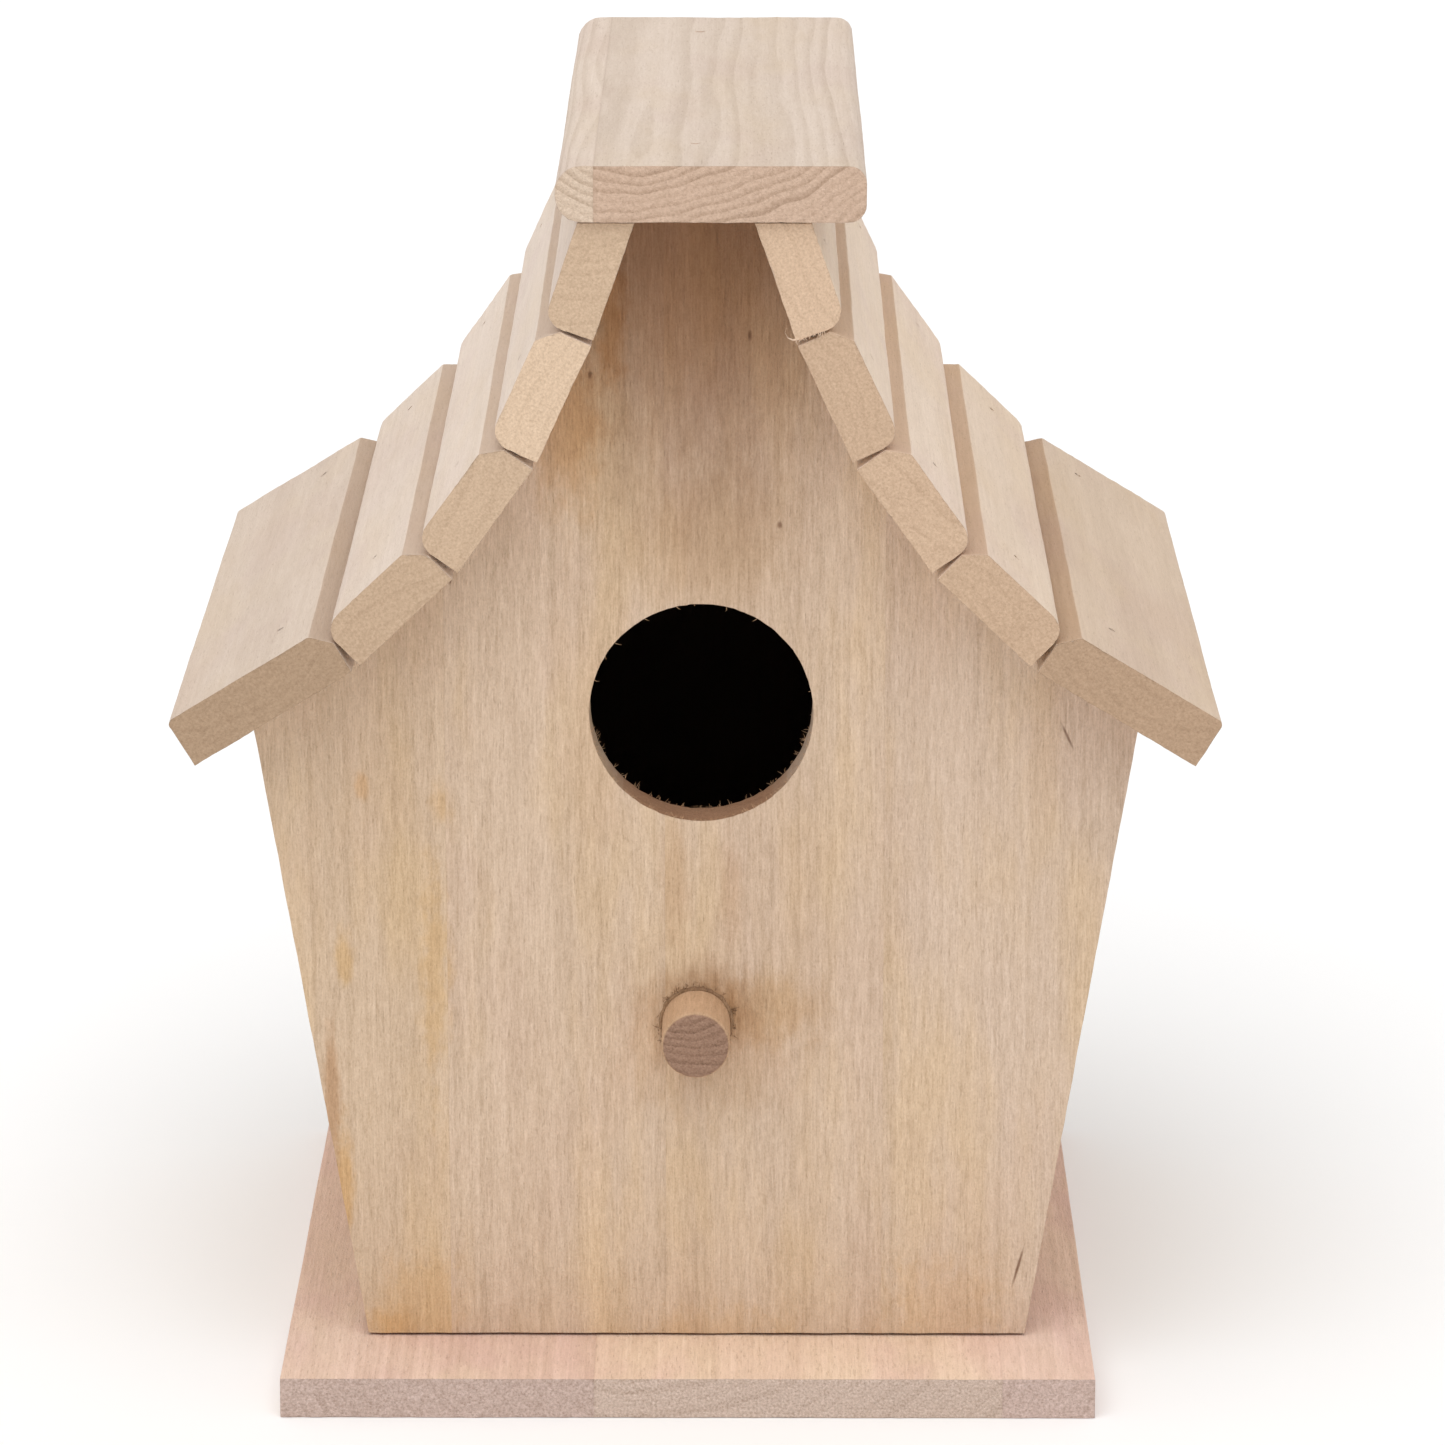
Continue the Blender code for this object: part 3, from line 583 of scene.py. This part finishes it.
# Torn fibres round the entrance
entranceFuzz = {
    "count": 170,
    "length": (0.25, 0.95),     # millimetres
    "thick": 0.05,
    "low": 0.88,                # share of the fibres on the lower half of the rim
    "back": 0.45,               # share of the fibres on the inner edge of the hole
    "wood": {"pale": (196, 158, 122), "warm": (186, 144, 104), "pink": (180, 142, 114), "seed": 70.0},
    "seed": 7,
}
panelPoints = [vert.co for vert in frame["nodes"]["front_panel"].data.vertices]
holeRadius = min(math.hypot(point.x - holeX, point.z - holeZ) for point in panelPoints)
chance = random.Random(entranceFuzz["seed"])
strands = []
for number in range(entranceFuzz["count"]):
    lower = chance.random() < entranceFuzz["low"]
    angle = math.radians(chance.uniform(195.0, 350.0) if lower else chance.uniform(-10.0, 195.0))
    inner = chance.random() < entranceFuzz["back"]
    outwards = Vector((math.cos(angle), 0.0, math.sin(angle)))
    along = Vector((-outwards.z, 0.0, outwards.x)) * chance.uniform(-1.0, 1.0)
    start = Vector((holeX, panelHigh.y - 0.1 * mm if inner else panelLow.y + 0.1 * mm, holeZ))
    start += outwards * (holeRadius + 0.05 * mm)
    reach = chance.uniform(*entranceFuzz["length"]) * mm
    lean = Vector((0.0, 0.3 if inner else -0.55 * chance.random(), 0.0))
    way = (-outwards * chance.uniform(0.5, 1.0) + along * 0.8 + lean).normalized() * reach
    curl = Vector((chance.uniform(-0.3, 0.3), 0.0, chance.uniform(-0.1, 0.4))) * reach
    strands.append([start, start + way * 0.55, start + way + curl])
panelMiddle = (panelLow + panelHigh) / 2.0
fuzzWood = woodFinish("entranceFuzzGrain", entranceFuzz["wood"], panelMiddle, (0.0, 0.0, 0.0))
makeFibres("entrance_fuzz", "front_panel", strands, entranceFuzz["thick"], fuzzWood)

# Fibres and a bead of old glue where the perch enters the panel
perchCollar = {
    "bead": 0.42,               # radius of the bead, in millimetres
    "gap": 0.15,                # from the dowel to the middle of the bead
    "sink": 0.12,
    "steps": 72,
    "rough": 0.30,
    "lump": 1400.0,             # lumps of the bead per metre
    "fibres": 60,
    "thick": 0.06,
    "wood": {"pale": (150, 118, 88), "warm": (134, 100, 70), "pink": (142, 110, 86), "end": (140, 108, 80),
             "fuzz": 0.6, "fibre": 0.3, "fineFibre": 0.4, "seed": 71.0},
    "seed": 11,
}
bead = bmesh.new()
bmesh.ops.create_circle(bead, cap_ends=False, segments=8, radius=perchCollar["bead"] * mm)
bmesh.ops.translate(bead, verts=bead.verts, vec=(perchRadius + perchCollar["gap"] * mm, 0.0, 0.0))
bmesh.ops.spin(bead, geom=bead.verts[:] + bead.edges[:], cent=(0.0, 0.0, 0.0), axis=(0.0, 1.0, 0.0),
               angle=math.tau, steps=perchCollar["steps"], use_merge=True)
bmesh.ops.remove_doubles(bead, verts=bead.verts, dist=1e-7)
bmesh.ops.recalc_face_normals(bead, faces=bead.faces)
bead.normal_update()
for vert in bead.verts:
    bump = noise.noise(vert.co * perchCollar["lump"])
    vert.co += vert.normal * bump * perchCollar["rough"] * mm
bmesh.ops.translate(bead, verts=bead.verts, vec=perchMiddle + Vector((0.0, perchCollar["sink"] * mm, 0.0)))
collarWood = woodFinish("perchCollarGrain", perchCollar["wood"], perchMiddle, (0.0, 0.0, 0.0))
collar = addPiece("perch_collar", bead, collarWood, "front_panel")
collar.data.shade_smooth()
chance = random.Random(perchCollar["seed"])
strands = []
for number in range(perchCollar["fibres"]):
    angle = math.radians(chance.uniform(-30.0, 210.0))
    outwards = Vector((math.cos(angle), 0.0, math.sin(angle)))
    start = perchMiddle + outwards * (perchRadius + chance.uniform(0.3, 1.1) * mm)
    way = (outwards * chance.uniform(-0.2, 0.9) + Vector((0.0, -0.35, 0.0))
           + Vector((chance.uniform(-0.6, 0.6), 0.0, chance.uniform(-0.3, 0.6)))).normalized()
    way *= chance.uniform(0.4, 1.2) * mm
    strands.append([start + Vector((0.0, 0.1 * mm, 0.0)), start + way * 0.5, start + way])
makeFibres("perch_fuzz", "front_panel", strands, perchCollar["thick"], collarWood)
print("torn fibres made")

backPanel = {
    "turn": (0.0, 0.0, 0.0),
    "ease": 0.25,
    "slices": [((0, 0, 1), 2.0), ((1, 0, 0), 4.0)],
    "wave": 0.10,
    "fuzz": 0.16,
    "slot": "wall_wood",
    "wood": {
        "glueLines": (-30.0, 11.0, 44.0),
        "stripTones": ((0.97, 0.96, 0.95), (1.03, 1.02, 1.02), (0.98, 0.98, 0.98)),
        # the inside face gets painted shade
        "inside": (0.0, -1.0, 0.0),
        "seed": 2.0,
    },
}
makeBoard("back_panel", backPanel)

sideWall = {
    "lean": 9.3,                # degrees outwards
    "ease": 0.2,
    "slices": [((0, 0, 1), 2.5), ((0, 1, 0), 4.0)],
    "wave": 0.08,
    "fuzz": 0.10,
    "slot": "wall_wood",
    "wood": {"glueLines": (-12.0,), "stripTones": ((0.96, 0.95, 0.94),)},
}
for side, sign, seed in (("left", -1.0, 3.0), ("right", 1.0, 4.0)):
    # the inside faces get painted shade
    wood = {**sideWall["wood"], "inside": (-sign, 0.0, 0.0), "seed": seed}
    makeBoard("side_wall_" + side, {**sideWall, "turn": (0.0, -sign * sideWall["lean"], 90.0), "wood": wood})
print("body made")

baseBoard = {
    "turn": (90.0, 0.0, 0.0),
    "ease": 0.18,
    "slices": [((1, 0, 0), 1.4), ((0, 1, 0), 4.0)],
    "ends": (0.8, 2.0),
    "wave": 0.10,
    "fuzz": 0.16,
    "slot": "base_wood",
    "wood": {
        "pale": (214, 184, 164),
        "warm": (218, 192, 166),
        "pink": (206, 170, 158),
        "end": (196, 172, 160),
        "fibre": 0.13, "fineFibre": 0.18, "fuzz": 0.14, "pore": 0.14, "line": 0.16, "endSpeckle": 0.80,
        "glueLines": (-16.1, 54.1),
        "stripTones": ((1.06, 1.09, 1.05), (0.98, 0.95, 1.0)),
        "faceScale": 1.14,
        "pinkShare": 0.5,
        "seed": 5.0,
    },
}
makeBoard("base_board", baseBoard)

slatBoard = {
    "ease": 0.12,
    "pitchAcross": 0.9,
    "pitchThrough": 1.4,
    "pitchAlong": 4.0,
    "ends": (0.6, 1.6),
    "wave": 0.12,
    "fuzz": 0.18,
}
slatWood = {
    "line": 0.06, "fibre": 0.08, "fineFibre": 0.10, "fuzz": 0.10, "pore": 0.12,
    "endRing": 0.07, "endSpeckle": 0.46, "warmShare": 0.35, "pinkShare": 0.35, "relief": 0.10,
}
leftWood = {
    **slatWood,
    "pale": (222, 204, 188), "warm": (220, 198, 172), "pink": (212, 190, 178), "end": (204, 176, 148),
    "band": 0.06, "ring": 0.04,
}
rightWood = {
    **slatWood,
    "pale": (222, 200, 178), "warm": (218, 192, 160), "pink": (210, 184, 170), "end": (204, 174, 146),
    "band": 0.07, "ring": 0.05, "chamferTone": (226, 214, 202),
}
# How light each slat's top and ends are, from the ridge to the eave; the tops' factors are partly painted
# light, set per slope and side against how the key light falls, the right-hand slats lightened against the
# key light from the left
slatTopsToneAndLight = {"left": (1.02, 1.07, 1.08, 1.0, 0.89), "right": (1.06, 1.14, 1.16, 1.06, 0.88)}
slatEnds = {"left": (1.02, 1.24, 0.99, 0.90, 0.67), "right": (1.15, 0.97, 1.02, 0.95, 0.74)}


def slatSlope(node):
    shell = carvedBoard(node)
    widest = max((face for face in shell.faces if face.normal.z > 0.2), key=lambda face: face.calc_area())
    normal = widest.normal.copy()
    shell.free()
    return normal


for side, wood, sign in (("left", leftWood, -1.0), ("right", rightWood, 1.0)):
    for number in range(1, 6):
        node = f"roof_slat_{side}_{number}"
        normal = slatSlope(node)
        slope = math.degrees(math.atan2(normal.x, normal.z))
        across = Vector((normal.z, 0.0, -normal.x))
        seed = 10.0 + number * 2.0 + (7.0 if side == "right" else 0.0)
        pith = (6.0 * (number % 3) - 8.0, (-30.0, 26.0, -44.0, 36.0, -24.0)[number - 1])
        planed = (normal - across * sign).normalized() if number > 1 else None
        board = {
            **slatBoard,
            "turn": (90.0, 0.0, -slope),
            "slices": [(across, slatBoard["pitchAcross"]), (normal, slatBoard["pitchThrough"]),
                       ((0, 1, 0), slatBoard["pitchAlong"])],
            "slot": side + "_slat_wood",
            "wood": {**wood, "seed": seed, "pith": pith, "ringWidth": 1.8 + 0.25 * (number % 4),
                     "chamfer": planed, "faceScale": slatTopsToneAndLight[side][number - 1],
                     "endScale": slatEnds[side][number - 1]},
        }
        makeBoard(node, board)

# A curled splinter at the lower inside corner of the top right slat, and short ones near it
splinter = {
    "curl": ((0.5, 0.15, 0.4), (-0.5, -0.15, 0.3), (-1.3, -0.3, 0.7), (-1.8, -0.35, 1.6), (-1.5, -0.35, 2.4)),
    "thick": 0.20,
    "burrs": 14,
    "burrThick": 0.07,
    "node": "roof_slat_right_1",
    "slot": "right_slat_wood",
    "seed": 5,
}
slatPoints = [vert.co for vert in frame["nodes"][splinter["node"]].data.vertices]
slatFront = min(point.y for point in slatPoints)
frontPoints = [point for point in slatPoints if point.y < slatFront + mm]
corner = min(frontPoints, key=lambda point: point.z + point.x).copy()
splinterWood = bpy.data.materials[splinter["node"] + "Grain"]
curl = [corner + Vector(step) * mm for step in splinter["curl"]]
makeFibres("slat_splinter", splinter["node"], [curl], splinter["thick"], splinterWood)
chance = random.Random(splinter["seed"])
strands = []
for number in range(splinter["burrs"]):
    start = corner + Vector((chance.uniform(0.1, 5.0), 0.0, 0.0)) * mm
    start.z += (start.x - corner.x) * 0.36 + 0.1 * mm
    start.y += 0.1 * mm
    way = Vector((chance.uniform(-0.5, 0.5), chance.uniform(-0.9, -0.2), chance.uniform(-1.0, -0.2)))
    way *= 0.5 * mm
    strands.append([start, start + way, start + way * 1.6])
makeFibres("slat_burrs", splinter["node"], strands, splinter["burrThick"], splinterWood)
print("roof made")

ridgeCap = {
    "turn": (90.0, 0.0, 0.0),
    "ease": 0.15,
    "slices": [((1, 0, 0), 1.0), ((0, 0, 1), 1.5), ((0, 1, 0), 4.0)],
    "ends": (0.6, 1.6),
    "wave": 0.10,
    "fuzz": 0.14,
    "slot": "cap_wood",
    "wood": {
        "pale": (222, 204, 188), "warm": (216, 194, 168), "pink": (214, 192, 178), "end": (220, 197, 175),
        "line": 0.06, "fibre": 0.08, "fineFibre": 0.10, "fuzz": 0.10, "band": 0.07, "pore": 0.12,
        "glueLines": (-19.3,), "stripTones": ((0.955, 0.95, 0.945),), "stripEnds": ((0.88, 0.80, 0.77),),
        "ring": 0.14, "endRing": 0.30, "pith": (6.0, -46.0), "ringWidth": 1.7, "wobble": 8.0,
        "seed": 40.0,
    },
}
capPiece = makeBoard("ridge_cap", ridgeCap)
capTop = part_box("ridge_cap")[1].z
for node in sorted(frame["nodes"]):
    if node.startswith("cap_nail"):
        fillNail(node, capPiece, (0.0, 0.0, 0.0), (2, capTop))
print("ridge cap made")

perch = {
    "turn": (90.0, 0.0, 0.0),
    "ease": 0.15,
    "slices": [((0, 1, 0), 1.0)],
    "wave": 0.06,
    "fuzz": 0.08,
    "slot": "dowel_wood",
    "wood": {
        "pale": (190, 156, 124), "warm": (184, 146, 108), "pink": (180, 146, 122), "end": (154, 121, 100),
        "pith": (2.0, -9.0), "ringWidth": 1.5, "endRing": 0.3, "endSpeckle": 0.7, "faceScale": 1.11,
        "seed": 50.0,
    },
}
makeBoard("perch_dowel", perch)

hatch = {
    "turn": (0.0, 0.0, 0.0),
    "ease": 0.25,
    "slices": [((0, 0, 1), 2.0), ((1, 0, 0), 2.0)],
    "wave": 0.08,
    "fuzz": 0.14,
    "slot": "hatch_wood",
    "wood": {"seed": 60.0, "ring": 0.12, "pith": (8.0, 14.0)},
}
makeBoard("clean_out_hatch", hatch)
print("perch and hatch made")

fasteners = {
    "nailTone": (92, 84, 76),
    "screwTone": (176, 170, 158),
    "nailRoughness": 0.5,
    "screwRoughness": 0.38,
}


def steelFinish(name, steelTone, roughness):
    material = bpy.data.materials.new(name)
    material.use_nodes = True
    tree = material.node_tree
    shader = tree.nodes["Principled BSDF"]
    lookup = addNode(tree, "TexCoord")
    grain = grainNoise(tree, lookup.outputs["Object"], (2600.0, 2600.0, 2600.0), 3.0, 0.6)
    blotch = grainNoise(tree, lookup.outputs["Object"], (500.0, 500.0, 500.0), 2.0, 0.5, 5.0)
    light = sums(tree, "MULTIPLY_ADD", grain, 0.5, 0.5)
    light = sums(tree, "ADD", light, sums(tree, "MULTIPLY_ADD", blotch, 0.5, -0.25))
    colour = addNode(tree, "VectorMath", {0: tone(*steelTone)[:3], "Scale": light},
                     operation="SCALE").outputs[0]
    tree.links.new(colour, shader.inputs["Base Color"])
    tree.links.new(sums(tree, "MULTIPLY_ADD", blotch, 0.3, roughness - 0.15), shader.inputs["Roughness"])
    shader.inputs["Metallic"].default_value = 0.9
    relief = addNode(tree, "Bump", {"Height": grain, "Distance": 0.03 * mm, "Strength": 0.6})
    tree.links.new(relief.outputs[0], shader.inputs["Normal"])
    return material


nailSteel = steelFinish("nailSteel", fasteners["nailTone"], fasteners["nailRoughness"])
screwZinc = steelFinish("screwZinc", fasteners["screwTone"], fasteners["screwRoughness"])
for node, piece in frame["nodes"].items():
    if "nail" in node or "screw" in node:
        piece.data.materials.clear()
        piece.data.materials.append(nailSteel if "nail" in node else screwZinc)
print("fasteners finished")
